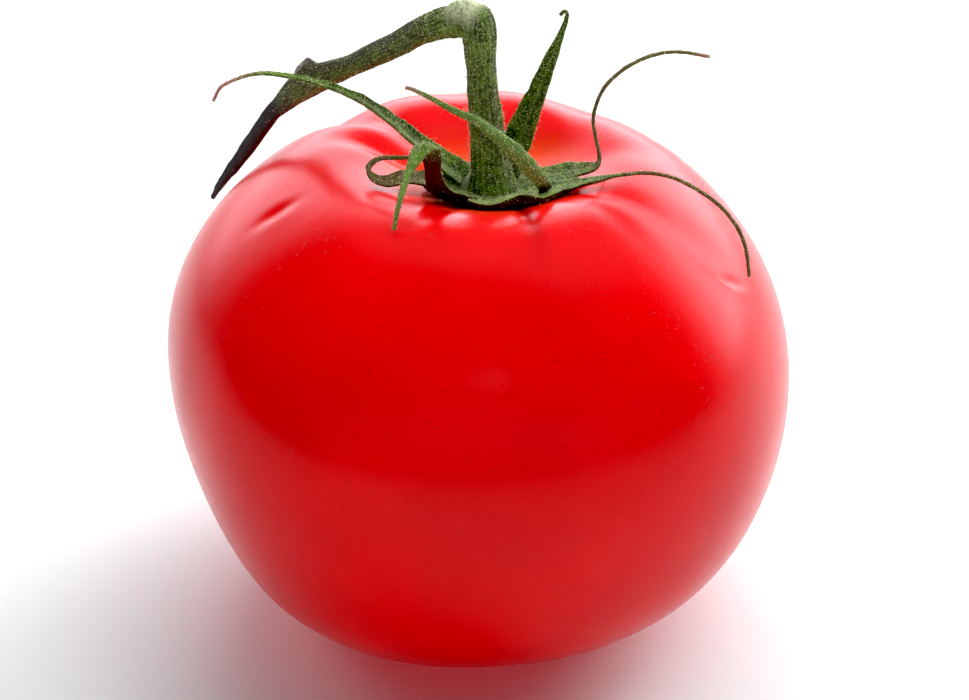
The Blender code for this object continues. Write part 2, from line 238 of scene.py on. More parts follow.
class ShaderTree:
    def __init__(self, tree):
        self.tree = tree
        tree.nodes.clear()

    # adds one node: its settings first, then the values or wires of its sockets
    def node(self, kind, settings, sockets, output=0):
        made = self.tree.nodes.new("ShaderNode" + kind)
        for name, value in settings.items():
            setattr(made, name, value)
        for name, value in sockets.items():
            if isinstance(value, Wire):
                self.tree.links.new(value.socket, made.inputs[name])
            else:
                made.inputs[name].default_value = value
        return None if output is None else Wire(self, made.outputs[output])

    def attribute(self, name):
        return self.node("Attribute", {"attribute_name": name}, {}, "Fac")

    # cloudy noise whose features measure about size millimetres, from 0 to 1
    def clouds(self, size, detail=2.0):
        return self.node("TexNoise", {}, {"Vector": self.where, "Scale": 1 / size, "Detail": detail})

    # round spots about spacing millimetres apart: 1 inside the radius, fading over a third of it
    def spots(self, spacing, radius):
        away = self.node("TexVoronoi", {}, {"Vector": self.where, "Scale": 1 / spacing}, "Distance")
        return self.ease(away, 1.33 * radius / spacing, 0.8 * radius / spacing)

    # smooth step of a wire from 0 at low to 1 at high
    def ease(self, value, low, high):
        sockets = {"Value": value, "From Min": min(low, high), "From Max": max(low, high),
                   "To Min": 0.0 if low < high else 1.0, "To Max": 1.0 if low < high else 0.0}
        return self.node("MapRange", {"interpolation_type": "SMOOTHSTEP"}, sockets)

    # one colour over another by a factor
    def over(self, below, above, factor):
        below, above = ((*c, 1.0) if isinstance(c, tuple) else c for c in (below, above))
        return self.node("Mix", {"data_type": "RGBA"}, {"Factor": factor, 6: below, 7: above}, 2)

    # colours laid over the first, each by its factor
    def layers(self, colour, *rest):
        for above, factor in rest:
            colour = self.over(colour, above, factor)
        return colour

    # how far a vector points along a direction
    def towards(self, way, direction):
        return self.node("VectorMath", {"operation": "DOT_PRODUCT"}, {0: way, 1: direction}, "Value")

    # distance in millimetres from a place
    def distance(self, place):
        return self.node("VectorMath", {"operation": "DISTANCE"}, {0: self.where, 1: place}, "Value")

    # small relief: height in millimetres
    def relief(self, height):
        return self.node("Bump", {}, {"Height": height, "Strength": 1.0, "Distance": mm})

    # the shader with its sockets, joined to the tree's output
    def finish(self, sockets, kind="BsdfPrincipled", end="OutputMaterial"):
        self.node(end, {}, {"Surface": self.node(kind, {}, sockets)}, None)


# a material and its tree, which keeps the places on the piece in millimetres
def newMaterial(name):
    material = bpy.data.materials.new(name)
    material.use_nodes = True
    tree = ShaderTree(material.node_tree)
    metres = tree.node("TexCoord", {}, {}, "Object")
    tree.where = tree.node("Mapping", {}, {"Vector": metres, "Scale": (1 / mm,) * 3})
    return material, tree


# The fruit
fruit = {
    "radius": 36.7,
    "widestLevel": 30.5,
    "shoulderRise": 31.8,
    "roundnessBelow": 0.59,
    "roundnessAbove": 1.17,
    "restRadius": 8.5,
    "basinDepth": 11.0,
    "basinRadius": 12.5,
    "coreSway": (1.22, -2.28, -0.10, 3.40),
    "coreBack": 0.5,
    # waves round the fruit, height as a share of the radius, azimuth of a crest
    "lobes": ((2, -0.017, 0), (3, 0.010, 107), (5, 0.008, 20)),
    # azimuth at 0.4 of the radius, turn over the radius, depth, half width in degrees, start, end
    "grooves": ((290.0, -8, 0.30, 4.2, 0.16, 0.60), (246, 10, 0.4, 5.5, 0.16, 0.55),
                (317.5, 16, 0.16, 5.0, 0.20, 0.80), (330, 25, 0.32, 7.0, 0.22, 1.05),
                (12, 10, 0.5, 10.0, 0.30, 0.70), (55, 0, 0.5, 12.0, 0.30, 0.80),
                (95, 10, 0.7, 10.0, 0.30, 0.80), (132, 0, 1.9, 8.0, 0.30, 0.90),
                (156, 0, 0.8, 7.0, 0.16, 0.60), (212, 5, 0.12, 10.0, 0.20, 0.60)),
    # the basin is hollowed further behind the stalk: depth, radius of its middle, half width, azimuth
    "hollow": (1.8, 10.5, 4.5, 95.0),
    # small folds in the skin: place, direction, half length, half width, depth, lip below it
    "folds": (((-21.2, -6.6, 53.1), (3.8, 0.5, 2.2), 2.5, 1.0, 0.34, 0.06),
              ((29.7, -9.9, 46.1), (3.1, 3.1, -2.6), 2.0, 0.55, 0.34, 0.12)),
    # painted shade along the front groove, a dark line: azimuth, turn, half width in degrees, start, end
    "grooveShade": (290.0, -8, 3.9, 0.20, 0.66),
    # slow waves in the skin break up its reflections; they fade in between two heights above the
    # floor, and between two distances from the calyx's middle
    "wobbleHeight": 0.035,
    "wobbleLength": 11.0,
    "wobbleHeights": (1.0, 6.0),
    "wobbleDistances": (9.0, 19.0),
    "tintLevel": 52.5,          # the orange tint is round this level in the basin's middle
    "scarRadius": 1.5,          # the blossom scar under the fruit, in a shallow dimple
    "scarHeight": 0.35,
    "dimpleDepth": 0.7,
    "sides": 410,
    "flatRings": 14,
    "rings": 216,
    "profileSteps": 2000,       # fine steps on one profile, by which the rings are spaced evenly
    "profileAzimuth": 20.0,
}


# Depth of all grooves at an azimuth and a share of the radius: a bell across each groove, eased
# in at its start and out at its end.
def grooveDepth(azimuth, share):
    total = np.zeros(np.broadcast(azimuth, share).shape)
    for middle, turn, depth, halfWidth, start, end in fruit["grooves"]:
        off = (azimuth - middle - turn * (share - 0.4) + 180) % 360 - 180
        along = smoothStep(0.6 * start, 2 * start, share) * (1 - smoothStep(0.6 * end, end, share))
        total += depth * np.exp(-(off / halfWidth) ** 2) * along
    return total


# How strong the painted shade along the front groove is: a bell across it, eased in and out like its depth.
def paintedGrooveShade(azimuth, share):
    middle, turn, halfWidth, start, end = fruit["grooveShade"]
    off = (azimuth - middle - turn * (share - 0.4) + 180) % 360 - 180
    along = smoothStep(0.6 * start, 1.2 * start, share) * (1 - smoothStep(0.5 * end, end, share))
    return np.exp(-(off / halfWidth) ** 2) * along


# Depth of the hollow behind the stalk: a bell over the radius times a lobe over the azimuth.
def hollowDepth(radius, azimuth):
    depth, middle, halfWidth, direction = fruit["hollow"]
    lobe = (0.5 + 0.5 * np.cos(np.radians(azimuth - direction))) ** 1.5
    return depth * np.exp(-((radius - middle) / halfWidth) ** 2) * lobe


# Share of the full radius at a polar angle: a power of the sine, which changes with the height.
def skinShare(polar):
    above = smoothStep(math.pi * 0.25, math.pi * 0.75, polar)
    roundness = fruit["roundnessBelow"] + (fruit["roundnessAbove"] - fruit["roundnessBelow"]) * above
    return np.abs(np.sin(polar)) ** roundness


# The skin by polar angle, 0 at the base and pi at the stem end, and azimuth in degrees. The radius
# is a power of the sine, the level follows the cosine, a bell sinks the stem basin, lobes scale
# the radius, and grooves draw the skin towards the core.
def skinPlaces(polar, azimuth):
    above = smoothStep(math.pi * 0.25, math.pi * 0.75, polar)
    share = skinShare(polar)
    radius = fruit["radius"] * share
    widest = fruit["widestLevel"]
    level = widest - (widest + (fruit["shoulderRise"] - widest) * above) * np.cos(polar)
    step = (level - 30) / 30
    sway = sum(value * step ** power for power, value in enumerate(fruit["coreSway"]))
    back = fruit["coreBack"] * smoothStep(30, 60, level)
    lobe = sum(height * np.cos(np.radians(count * (azimuth - crest)))
               for count, height, crest in fruit["lobes"])
    radius = radius * (1 + lobe * smoothStep(0, 0.6, share))
    upper = smoothStep(math.pi * 0.5, math.pi * 0.62, polar)
    level = level - (fruit["basinDepth"] * np.exp(-(radius / fruit["basinRadius"]) ** 2)
                     + hollowDepth(radius, azimuth)) * upper
    inward = 1 - grooveDepth(azimuth, share) * upper / (np.hypot(radius, level - widest) + 0.001)
    angle = np.radians(azimuth)
    return np.stack((sway + radius * inward * np.cos(angle), back + radius * inward * np.sin(angle),
                     widest + (level - widest) * inward), -1)


# Normals of a grid of rings: the cross product of the steps round the ring and along the rows.
def gridNormals(grid):
    around = np.roll(grid, -1, 1) - np.roll(grid, 1, 1)
    return unit(np.cross(around, np.gradient(grid, axis=0)))


# Slow waves: a sum of sines along seeded directions, each with its own phase, from -1 to 1.
def slowWaves(places, length, seed):
    draws = np.random.default_rng(seed)
    ways = unit(draws.normal(size=(9, 3)))
    phases = draws.uniform(0, 2 * math.pi, 9)
    return np.sin(places @ ways.T * (2 * math.pi / length) + phases).mean(-1) * 2


# Dents: a bell along and across each fold's own direction pushes the skin in, and a softer bell
# beside it lifts a lip.
def foldHeight(places):
    height = np.zeros(places.shape[:-1])
    for place, way, halfLength, halfWidth, depth, lip in fruit["folds"]:
        off = places - np.array(place)
        ahead = unit(np.array(way))
        down = unit(np.cross(unit(np.array(place) - np.array((0, 0, 30.0))), ahead))
        along, across = off @ ahead / halfLength, off @ down / halfWidth
        height -= depth * np.exp(-along ** 2 - across ** 2)
        height += lip * np.exp(-along ** 2 - ((across + 2.0) / 1.5) ** 2)
    return height


# The fruit stands on the ring where its radius first reaches restRadius. Inside that ring the
# underside rises in a shallow dimple, with the small raised blossom scar in its middle. Slow
# waves and the folds move the skin along its normals.
def makeFruit(material):
    first = math.asin((fruit["restRadius"] / fruit["radius"]) ** (1 / fruit["roundnessBelow"]))
    fine = np.linspace(first, math.pi, fruit["profileSteps"])
    walked = walkedLength(skinPlaces(fine, np.full(len(fine), fruit["profileAzimuth"])))
    polar = np.interp(np.linspace(0, walked[-1], fruit["rings"] + 1)[:-1], walked, fine)
    azimuth = np.arange(fruit["sides"]) * (360 / fruit["sides"])
    rings = skinPlaces(polar[:, None], azimuth[None, :])
    rest = skinPlaces(np.array(first), np.array(0.0))[2]
    rings[:, :, 2] -= rest
    rings[0, :, 2] = 0
    normals = gridNormals(rings)
    upper = smoothStep(math.pi * 0.5, math.pi * 0.62, polar)[:, None]
    fromHub = np.hypot(rings[:, :, 0] - hub[0], rings[:, :, 1] - hub[1])
    fromHub += fruit["radius"] * (1 - upper)    # the lower half is far from the calyx
    clear = smoothStep(*fruit["wobbleHeights"], rings[:, :, 2])
    clear *= smoothStep(*fruit["wobbleDistances"], fromHub)
    height = slowWaves(rings, fruit["wobbleLength"], 3) * fruit["wobbleHeight"] * clear
    rings += normals * (height + foldHeight(rings))[..., None]
    rings[:, :, 2] = np.maximum(rings[:, :, 2], 0)
    middle = rings[0].mean(0)
    share = (np.arange(1, fruit["flatRings"] + 1) / (fruit["flatRings"] + 1))[:, None, None]
    flat = middle + (rings[0][None] - middle) * share
    reach = share[..., 0] * fruit["restRadius"]
    scar = fruit["scarHeight"] * np.exp(-(reach / fruit["scarRadius"]) ** 4)
    flat[:, :, 2] = fruit["dimpleDepth"] * (1 - share[..., 0] ** 2) ** 2 - scar
    start = np.array((*middle[:2], fruit["dimpleDepth"] - 0.3))
    stem = skinPlaces(np.array(math.pi), np.array(0.0)) - (0, 0, rest)
    # painted shade along the front groove, kept on the skin's vertices for the material
    tint = paintedGrooveShade(azimuth[None, :], skinShare(polar)[:, None]) * upper
    values = {"grooveShade": np.concatenate((np.zeros(flat[..., 0].size), tint.ravel(), (0, 0)))}
    places, faces = ringMesh(np.concatenate((flat, rings)), start, stem)
    addPiece("skin_of_fruit", places, faces, material, "skin", "fruit", values)


# Level of the basin's floor at a place seen from above: the dome of the shoulders less the bell
# that sinks the basin and the hollow behind the stalk, without the grooves.
def basinLevel(x, y):
    radius = np.hypot(x - hub[0], y - hub[1])
    dome = fruit["shoulderRise"] * np.sqrt(1 - (radius / fruit["radius"]) ** (2 / fruit["roundnessAbove"]))
    azimuth = np.degrees(np.arctan2(y - hub[1], x - hub[0]))
    return (fruit["widestLevel"] + dome - fruit["basinDepth"] * np.exp(-(radius / fruit["basinRadius"]) ** 2)
            - hollowDepth(radius, azimuth))


# the scar is at the core's lowest end, one step below its middle
scarPlace = (sum(value * (-1) ** power for power, value in enumerate(fruit["coreSway"])), 0.0, 0.4)


# Waxy red skin: patches, an orange tint in the basin, fine dark pores, painted shade as a dark line along
# the front groove, the scar underneath, and a faint grain that breaks up the gloss.
def skinMaterial():
    material, tree = newMaterial("waxy_red_skin")
    patches = tree.ease(tree.clouds(18), 0.3, 0.7)
    tint = tree.ease(tree.distance((*hub, fruit["tintLevel"])) + tree.clouds(4) * 5, 16.5, 8.5)
    pores = tree.spots(0.62, 0.10) * tree.ease(tree.clouds(1.7), 0.42, 0.6)
    scar = tree.ease(tree.distance(scarPlace), fruit["scarRadius"] * 1.25, fruit["scarRadius"] * 0.8)
    red = tree.layers(
        (0.76, 0.0055, 0.007),
        ((0.66, 0.0045, 0.006), patches),
        ((0.72, 0.085, 0.006), tint * 0.8),
        ((0.22, 0.003, 0.006), pores * 0.45),
        # painted shade: the dark line along the front groove
        ((0.27, 0.001, 0.003), tree.attribute("grooveShade") * 0.9),
        ((0.22, 0.10, 0.03), scar))
    grain = tree.clouds(0.22, 2) * 0.014 - pores * 0.018 + tree.clouds(2.2, 1) * 0.015
    tree.finish({
        "Base Color": red,
        "Roughness": 0.205 + tree.clouds(6) * 0.05,
        "IOR": 1.30,
        "Specular IOR Level": 0.5,
        "Subsurface Weight": 0.12,
        "Subsurface Radius": (1.0, 0.12, 0.06),
        "Subsurface Scale": 0.004,
        "Normal": tree.relief(grain),
    })
    return material


# The calyx
hub = (2.9, 0.5)                # the middle of the plate, seen from above
calyx = {
    "gap": 0.35,
    "plateThickness": 0.8,
    "seat": 0.06,               # the plate's lower side lies this far above the skin
    "rimDrop": 0.45,
    "plateSides": 120,
    "plateRings": 14,
    # the plate's rim: azimuth, radius, height above the skin
    "rim": ((0, 9.0, 0.1), (40, 6.6, 0.0), (80, 6.2, 0.2), (125, 6.0, 0.1), (165, 6.2, 0.3),
            (200, 8.0, 0.2), (222, 7.4, 0.5), (240, 7.4, 0.4), (268, 8.8, 0.0), (290, 9.6, 1.1),
            (306, 9.9, 0.1), (332, 10.4, 0.3), (360, 9.0, 0.1)),
    "thickness": 0.52,
    "edgeThickness": 0.30,
    "strandShare": 0.76,        # the thin ends are this much finer than in the solid model
    "step": 0.3,
    "grid": 0.127,
    "rounds": 4,
    "waveLength": 3.4,
    "waveHeight": 0.05,
    "hairs": 2800,
    "glands": 2600,
}
# Each sepal: its middle line as x, y, z and half width, the direction across the blade at its base
# and at its tip, how far its edges fold up at both ends, and its tints: name, share of the length
# where the tint starts and where it is full, and its strength.
sepals = {
    "left_long": {
        "line": ((-0.6, 0.4, 53.3, 2.5), (-4.5, 1.7, 56.2, 1.75), (-8.1, 2.7, 59.3, 1.1),
                 (-11.8, 3.2, 62.0, 0.78), (-16.0, 3.2, 64.0, 0.6), (-20.2, 2.8, 65.3, 0.46),
                 (-23.6, 2.4, 65.7, 0.35), (-27.1, 1.8, 64.6, 0.32), (-28.3, 1.4, 62.8, 0.32)),
        "across": ((-0.26, -0.97, 0.0), (-0.1, -0.9, -0.4)), "fold": (0.45, 0.45),
        "tints": (("pale", 0.5, 0.8, 0.3), ("pink", 0.78, 0.95, 0.9)),
    },
    "front_curl": {
        "line": ((0.4, -4.6, 53.2, 2.0), (-2.3, -6.0, 54.9, 1.75), (-3.3, -6.9, 56.8, 1.3),
                 (-3.6, -7.2, 58.6, 1.1), (-3.7, -7.4, 60.5, 1.3), (-4.0, -7.7, 61.8, 1.5),
                 (-4.8, -8.8, 62.4, 1.4), (-5.5, -10.0, 61.8, 0.95), (-6.3, -11.6, 60.5, 0.56),
                 (-6.9, -13.6, 59.4, 0.48), (-7.4, -15.2, 57.8, 0.4), (-7.8, -16.6, 56.0, 0.32)),
        "across": ((0.7, -0.55, 0.33), (0.9, -0.3, 0.0)), "fold": (0.2, -0.9),
        "tints": (("maroon", 0.46, 0.38, 1.0), ("pale", 0.5, 0.62, 0.6), ("brown", 0.8, 1.0, 0.6)),
    },
    "left_loop": {
        "line": ((-0.9, -1.9, 53.4, 1.9), (-3.5, -2.4, 54.4, 1.7), (-5.2, -3.2, 55.3, 1.35),
                 (-7.1, -4.0, 55.9, 1.05), (-8.8, -4.7, 55.8, 0.9), (-10.3, -4.7, 56.3, 0.7),
                 (-10.9, -3.6, 57.2, 0.5), (-9.7, -2.7, 57.8, 0.42), (-7.9, -2.3, 57.7, 0.38),
                 (-6.3, -2.0, 57.6, 0.32)),
        "across": ((0.2, -0.98, 0.0), (0.2, -0.7, -0.65)), "fold": (0.25, 0.25),
        "tints": (("brown", 0.08, 0.28, 0.85), ("pale", 0.6, 0.75, 0.4)),
    },
    "front_cross": {
        "line": ((8.9, -4.2, 53.7, 1.1), (8.8, -5.6, 55.4, 0.8), (8.3, -6.8, 57.0, 0.85),
                 (7.5, -7.6, 58.4, 0.95), (6.4, -8.1, 60.1, 0.95), (4.9, -8.2, 61.8, 0.85),
                 (3.0, -8.0, 63.3, 0.72), (0.9, -7.8, 64.9, 0.58), (-1.7, -7.5, 66.1, 0.48),
                 (-3.9, -7.2, 67.3, 0.4), (-5.6, -6.8, 68.0, 0.35), (-6.6, -6.7, 68.3, 0.32)),
        "across": ((0.84, 0.54, 0.0), (0.6, 0.0, 0.8)), "fold": (0.35, 0.35),
        "tints": (("brown", 0.08, 0.03, 0.9), ("pale", 0.05, 0.15, 0.9), ("pink", 0.86, 1.0, 0.7)),
    },
    "upright": {
        "line": ((4.7, 3.6, 52.9, 1.9), (5.5, 4.4, 54.9, 1.95), (6.4, 4.9, 57.2, 1.8),
                 (7.3, 5.1, 59.8, 1.5), (8.3, 5.3, 62.4, 1.2), (9.5, 5.8, 65.7, 0.9),
                 (10.6, 6.4, 68.6, 0.55), (11.3, 6.8, 70.9, 0.35), (10.9, 6.6, 71.6, 0.32),
                 (10.4, 6.3, 71.1, 0.32)),
        "across": ((-0.87, 0.5, 0.0), (-0.8, 0.6, 0.2)), "fold": (0.5, 0.5),
        "tints": (("brown", 0.86, 1.0, 0.6),),
    },
    "right_up": {
        "line": ((7.0, 0.2, 53.5, 1.8), (9.9, -0.3, 54.4, 1.8), (12.2, -1.0, 55.3, 1.5),
                 (14.2, -1.2, 55.9, 0.9), (14.9, -0.7, 56.7, 0.5), (14.5, 0.8, 58.6, 0.42),
                 (14.2, 2.0, 60.6, 0.4), (15.1, 2.6, 63.4, 0.4), (16.6, 3.0, 65.2, 0.38),
                 (18.5, 3.4, 66.5, 0.36), (21.0, 3.9, 67.4, 0.34), (23.8, 4.4, 67.5, 0.32),
                 (27.3, 5.1, 66.6, 0.32)),
        "across": ((-0.1, 1.0, 0.0), (0.0, 0.9, 0.4)), "fold": (0.2, 0.2),
        "tints": (("brown", 0.16, 0.32, 0.85), ("pale", 0.5, 0.75, 0.35), ("pink", 0.9, 1.0, 0.6)),
    },
    "right_droop": {
        "line": ((6.0, -2.4, 53.3, 2.1), (8.8, -3.9, 54.1, 2.0), (11.5, -4.9, 55.3, 1.4),
                 (13.9, -5.3, 56.2, 0.8), (17.0, -5.1, 56.9, 0.42), (20.1, -5.0, 57.1, 0.36),
                 (22.8, -5.3, 56.7, 0.34), (25.5, -5.8, 55.5, 0.34), (28.1, -6.6, 53.8, 0.34),
                 (29.9, -7.4, 51.8, 0.34), (31.0, -8.2, 49.4, 0.34), (31.5, -9.0, 46.2, 0.32)),
        "across": ((0.42, 0.9, 0.0), (0.5, 0.8, 0.3)), "fold": (0.25, 0.25),
        "tints": (("brown", 0.25, 0.45, 0.9),),
    },
    "back_short": {
        "line": ((2.6, 4.2, 52.7, 1.8), (2.4, 6.6, 53.7, 1.5), (2.4, 9.2, 55.8, 0.9),
                 (2.6, 11.0, 58.3, 0.35)),
        "across": ((-1.0, 0.0, 0.0), (-1.0, 0.0, 0.0)), "fold": (0.3, 0.3),
        "tints": (("brown", 0.8, 1.0, 0.5),),
    },
}


# A sepal's stations with its own directions: ahead along the line, side across the blade and face
# out of its inner side. The side turns evenly from the base's direction to the tip's.
def bladeFrame(sepal):
    stations = stationsOn(sepal["line"], calyx["step"])
    places = stations[:, :3]
    ahead = unit(np.gradient(places, axis=0))
    along = np.linspace(0, 1, len(stations))[:, None]
    base, tip = (np.array(way) for way in sepal["across"])
    side = squareTo(base + (tip - base) * along, ahead)
    return places, stations[:, 3:], ahead, side, np.cross(ahead, side), along


# A blade as closed rings. Across the blade, the middle line rises with the share of the half width
# to the power 1.5, and both edges wave. The thickness falls off towards the edges.
def bladeMesh(sepal, seed):
    places, half, ahead, side, face, along = bladeFrame(sepal)
    finer = calyx["strandShare"] + (1 - calyx["strandShare"]) * smoothStep(0.3, 0.9, half)
    half = half * finer
    across = np.sin(np.linspace(-math.pi / 2, math.pi / 2, 13))[None, :]
    walked = along * len(places) * calyx["step"]
    wave = np.sin(2 * math.pi * walked / calyx["waveLength"] + seed + across * 1.5)
    fold = sepal["fold"][0] + (sepal["fold"][1] - sepal["fold"][0]) * along
    waves = calyx["waveHeight"] * np.minimum(half, 1) * wave * across ** 2
    lift = fold * half * np.abs(across) ** 1.5 + waves
    width = half * (1 + 0.02 * np.sin(2.3 * walked + 3 * seed + np.sign(across) * 1.3))
    gain = calyx["thickness"] - calyx["edgeThickness"]
    thick = finer * (calyx["edgeThickness"] + gain * (1 - across ** 2))
    middle = places[:, None] + side[:, None] * (width * across)[..., None]
    upper = middle + face[:, None] * (lift + thick / 2)[..., None]
    lower = middle + face[:, None] * (lift - thick / 2)[..., None]
    rings = np.concatenate((upper[:, ::-1], lower[:, 1:-1]), axis=1)
    return ringMesh(rings, rings[0].mean(0), rings[-1].mean(0))


# Radius and lift of the plate's rim at an azimuth, eased between the rows of the table.
def rimAt(azimuth):
    rows = np.array(calyx["rim"])
    index = np.searchsorted(rows[:, 0], azimuth, side="right") - 1
    near, far = rows[index], rows[index + 1]
    share = smoothStep(0, 1, (azimuth - near[:, 0]) / (far[:, 0] - near[:, 0]))[:, None]
    return (near + (far - near) * share)[:, 1:].T


# The plate that lines the basin: a lower sheet over the skin and an upper one that thins to the
# rim, both raised by the rim's lift times the cube of the share of the radius.
def plateMesh():
    azimuth = np.arange(calyx["plateSides"]) * (360 / calyx["plateSides"])
    radius, lift = rimAt(azimuth)
    radius = radius * (1 + 0.012 * np.sin(np.radians(azimuth * 17)))
    share = (np.arange(1, calyx["plateRings"] + 1) / calyx["plateRings"])[:, None]
    x = hub[0] + radius * share * np.cos(np.radians(azimuth))
    y = hub[1] + radius * share * np.sin(np.radians(azimuth))
    skin = basinLevel(x, y)
    high = skin + calyx["gap"] + calyx["plateThickness"] + lift * share ** 3 - calyx["rimDrop"] * share ** 4
    lower = np.stack((x, y, skin + calyx["seat"] + 0.35 * lift * share ** 3), -1)
    upper = np.stack((x, y, high), -1)
    floor = basinLevel(*hub)
    return ringMesh(np.concatenate((lower, upper[::-1])), np.array((*hub, floor + calyx["seat"])),
                    np.array((*hub, floor + calyx["gap"] + calyx["plateThickness"])))


# Named numbers at each place, read from the nearest station of any part. Each part is its line, its
# radius, and a function that gives its numbers from the nearest stations and the steps from them.
def nearestValues(places, names, parts):
    values = {name: np.zeros(len(places)) for name in names}
    nearest = np.full(len(places), 1e9)
    for line, radius, read in parts:
        away = (places ** 2).sum(1)[:, None] - 2 * places @ line.T + (line ** 2).sum(1)[None] - radius ** 2
        index = away.argmin(1)
        best = away[np.arange(len(places)), index]
        closer = best < nearest
        nearest = np.where(closer, best, nearest)
        found = read(index, places - line[index])
        for name in names:
            values[name] = np.where(closer, found.get(name, 0.0), values[name])
    return values


# What the material needs at each vertex: the share across the nearest blade, 1 on its inner side,
# the share along it, and the strength of each tint.
def sepalValues(places, normals):
    def part(sepal):
        line, half, ahead, side, face, along = bladeFrame(sepal)

        def read(index, off):
            inner = smoothStep(-0.3, 0.3, (normals * face[index]).sum(1))
            found = {"across": (off * side[index]).sum(1) / half[index, 0], "inner": inner,
                     "along": along[index, 0]}
            for name, start, full, strength in sepal["tints"]:
                # the maroon lies only on the outer face: partly the sepal's own colour, partly painted shade
                outer = 1 - inner if name == "maroon" else 1
                found[name] = strength * smoothStep(start, full, found["along"]) * outer
            return found
        return line, 0.0, read
    names = ("across", "inner", "along", "pale", "brown", "pink", "maroon")
    return nearestValues(places, names, map(part, sepals.values()))


# The calyx grows together from its plate and sepals. Each blade has a groove along its middle on
# the inner side, a ridge on the outer side, and two fainter veins beside it.
def makeCalyx(material):
    parts = [plateMesh()] + [bladeMesh(sepal, number) for number, sepal in enumerate(sepals.values())]
    places, quads, normals = grownTogether(parts, calyx["grid"], calyx["rounds"])
    values = sepalValues(places, normals)
    beside = (np.abs(values["across"]) - 0.5) / 0.1
    ribs = np.exp(-(values["across"] / 0.13) ** 2) + 0.5 * np.exp(-beside ** 2)
    ribs *= smoothStep(0.04, 0.12, values["along"]) * (1 - smoothStep(0.7, 0.95, values["along"]))
    height = ribs * np.where(values["inner"] > 0.5, -0.05, 0.06) + 0.02 * slowWaves(places, 0.9, 11)
    x, y, z = places.T
    reach = np.hypot(x - hub[0], y - hub[1])
    low = smoothStep(2.8, 1.7, z - basinLevel(x, y)) * smoothStep(15, 12, reach)
    # painted shade: calyx faces that turn down close to the skin are made near black
    values["under"] = smoothStep(0.60, 0.15, normals[:, 2]) * low * 0.95
    places = places + normals * height[:, None]
    addPiece("sepals_and_plate", places, quads.tolist(), material, "sepal", "calyx", values)
    # fewer hairs on the maroon, the painted shade under the calyx, the pink and part of the brown
    bald = np.max([values["maroon"], values["under"], values["pink"], 0.7 * values["brown"]], axis=0)
    return places, quads, 1 - 0.9 * np.clip(bald, 0, 1)


# Two greens in patches, with a fine dark mottling over them.
def patchyGreen(tree, colours, size, start, fine):
    deep, light, dark = colours
    green = tree.over(deep, light, tree.ease(tree.clouds(size, 4), start, 0.68))
    return tree.over(green, dark, tree.ease(tree.clouds(fine, 2), 0.50, 0.66) * 0.7)


# A dull soft surface that lets a little light through: weight and scale say how much and how deep.
def finishGreen(tree, green, drift, weight, scale, grain):
    tree.finish({
        "Base Color": green,
        "Roughness": 0.55 + tree.clouds(drift) * 0.2,
        "Specular IOR Level": 0.35,
        "Subsurface Weight": weight,
        "Subsurface Radius": (0.5, 1.0, 0.2),
        "Subsurface Scale": scale,
        "Normal": tree.relief(grain),
    })


# Soft green leaf: dark between pale glandular specks, lighter veins and edges, tints of brown and pink where
# the sepals age, maroon that is partly their own colour and partly painted shade, and near-black painted
# shade on their undersides close to the skin.
def sepalMaterial():
    material, tree = newMaterial("hairy_green_sepal")
    across = tree.attribute("across")
    greens = ((0.024, 0.056, 0.008), (0.100, 0.190, 0.020), (0.008, 0.018, 0.004))
    specks = tree.spots(0.26, 0.062) * tree.ease(tree.clouds(0.9), 0.36, 0.56)
    specks = specks * (1 - tree.attribute("maroon")) * (1 - 0.8 * tree.attribute("under"))
    green = tree.layers(
        patchyGreen(tree, greens, 1.1, 0.35, 0.3),
        ((0.19, 0.25, 0.07), tree.ease(across * across, 0.5, 1.1) * 0.6),
        ((0.20, 0.36, 0.06), tree.attribute("pale") * 0.75),
        ((0.20, 0.28, 0.08), tree.ease(across * across, 0.05, 0.0) * 0.4),
        ((0.055, 0.10, 0.03), (1 - tree.attribute("inner")) * 0.5),
        ((0.115, 0.062, 0.028), tree.attribute("brown") * (0.6 + 0.4 * tree.clouds(0.8))),
        ((0.42, 0.17, 0.16), tree.attribute("pink")),
        # maroon, partly the sepal's own colour and partly painted shade on the curled sepal's outer face
        ((0.048, 0.022, 0.012), tree.attribute("maroon")),
        # painted shade under the calyx, near black
        ((0.012, 0.004, 0.004), tree.attribute("under")),
        ((0.72, 0.72, 0.30), specks * 0.8))
    grain = tree.clouds(0.16, 2) * 0.09 + specks * 0.04
    finishGreen(tree, green, 0.6, 0.06, 0.0006, grain)
    return material


